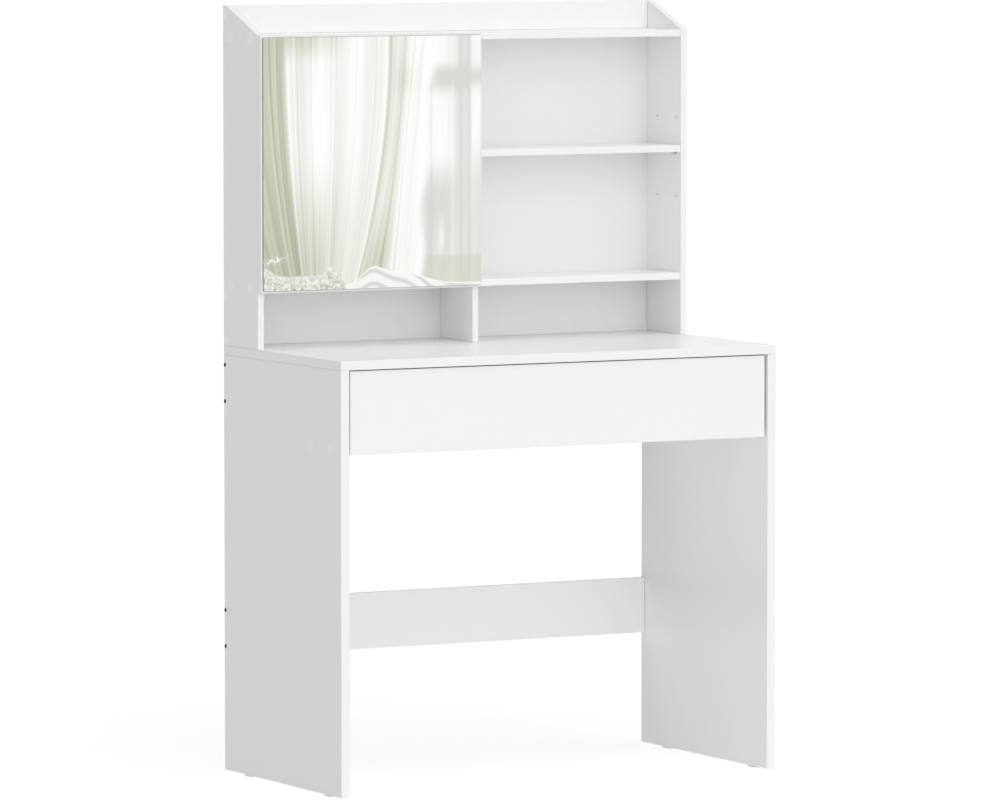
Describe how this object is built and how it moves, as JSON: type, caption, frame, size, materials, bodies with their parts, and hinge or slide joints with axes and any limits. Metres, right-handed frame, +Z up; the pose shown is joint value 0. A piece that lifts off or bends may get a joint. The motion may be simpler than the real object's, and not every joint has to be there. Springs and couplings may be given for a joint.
{
  "type": "vanity table with mirror",
  "caption": "White vanity desk with a shallow drawer, an open-shelf hutch above the back edge and a mirror door that swings open over a hidden cabinet.",
  "frame": {"origin": "on the floor, under the middle of the desk", "axes": "+X to a seated user's right, +Y to the back, +Z up"},
  "size_m": [0.8616, 0.45, 1.35],
  "materials": {
    "white_board": "white melamine, satin",
    "white_hardboard": "white lacquered hardboard, satin",
    "mirror": "silvered float glass",
    "foam_tape": "white foam tape",
    "black_screw": "black oxide, satin",
    "zinc_steel": "zinc plated",
    "slide_steel": "zinc plated sheet",
    "nickel_steel": "nickel plated",
    "cam_metal": "die-cast zinc",
    "cap_sticker": "white plastic sticker",
    "glide_plastic": "white nylon",
    "dowel_wood": "plain beech",
    "bumper_rubber": "clear soft plastic"
  },
  "bodies": {
    "desk": {"back_rail_screws": "black_screw", "bottom_back_board": "white_board", "cabinet_shelf": "white_board", "cabinet_slide_left": "slide_steel", "cabinet_slide_right": "slide_steel", "cabinet_slide_screws": "zinc_steel", "desktop": "white_board", "desktop_cam_bolts": "zinc_steel", "desktop_cams": "cam_metal", "divider_dowels": "dowel_wood", "divider_screws": "zinc_steel", "floor_glides": "glide_plastic", "front_rail": "white_board", "front_rail_screws": "zinc_steel", "hinge_arms": "nickel_steel", "hinge_pins": "zinc_steel", "hinge_plates": "nickel_steel", "hinge_screws": "zinc_steel", "hutch_back_panel": "white_hardboard", "hutch_back_screws": "zinc_steel", "hutch_left_side": "white_board", "hutch_mounting_screws": "zinc_steel", "hutch_right_side": "white_board", "hutch_shelf_screws": "zinc_steel", "large_screw_caps": "cap_sticker", "left_side_panel": "white_board", "lower_back_stretcher": "white_board", "lower_divider": "white_board", "lower_shelf": "white_board", "middle_shelf": "white_board", "right_side_panel": "white_board", "shelf_pins": "zinc_steel", "small_screw_caps": "cap_sticker", "top_back_rail": "white_board", "top_shelf": "white_board", "upper_back_rail": "white_board", "upper_divider": "white_board"},
    "drawer": {"drawer_back": "white_board", "drawer_back_screws": "zinc_steel", "drawer_bottom": "white_hardboard", "drawer_cam_bolts": "zinc_steel", "drawer_cams": "cam_metal", "drawer_front": "white_board", "drawer_left_side": "white_board", "drawer_right_side": "white_board", "drawer_slide_left": "slide_steel", "drawer_slide_right": "slide_steel", "drawer_slide_screws": "zinc_steel"},
    "slide_middle_left": {"middle_slide_left": "slide_steel"},
    "slide_middle_right": {"middle_slide_right": "slide_steel"},
    "door": {"door_board": "white_board", "mirror_glass": "mirror", "mirror_tapes": "foam_tape", "door_bumpers": "bumper_rubber", "hinge_cups": "nickel_steel"},
    "hinge_links": {"hinge_links": "nickel_steel"}
  },
  "joints": [
    {"name": "drawer_slide", "type": "slide", "parent": "desk", "child": "drawer", "axis": [0, -1, 0], "range_m": [0, 0.33]},
    {"name": "slide_left", "type": "slide", "parent": "desk", "child": "slide_middle_left", "axis": [0, -1, 0], "range_m": [0, 0.165]},
    {"name": "slide_right", "type": "slide", "parent": "desk", "child": "slide_middle_right", "axis": [0, -1, 0], "range_m": [0, 0.165]},
    {"name": "door_swing", "type": "hinge", "parent": "desk", "child": "door", "pos_m": [-0.428, 0.078, 0.852], "axis": [0, 0, -1], "range_deg": [0, 95]},
    {"name": "link_swing", "type": "hinge", "parent": "desk", "child": "hinge_links", "pos_m": [-0.4135, 0.0836, 0.852], "axis": [0, 0, -1], "range_deg": [0, 95]}
  ],
  "couplings": [
    {"joint": "slide_left", "follows": "drawer_slide", "ratio": 0.5},
    {"joint": "slide_right", "follows": "drawer_slide", "ratio": 0.5},
    {"joint": "link_swing", "follows": "door_swing", "ratio": 1}
  ]
}
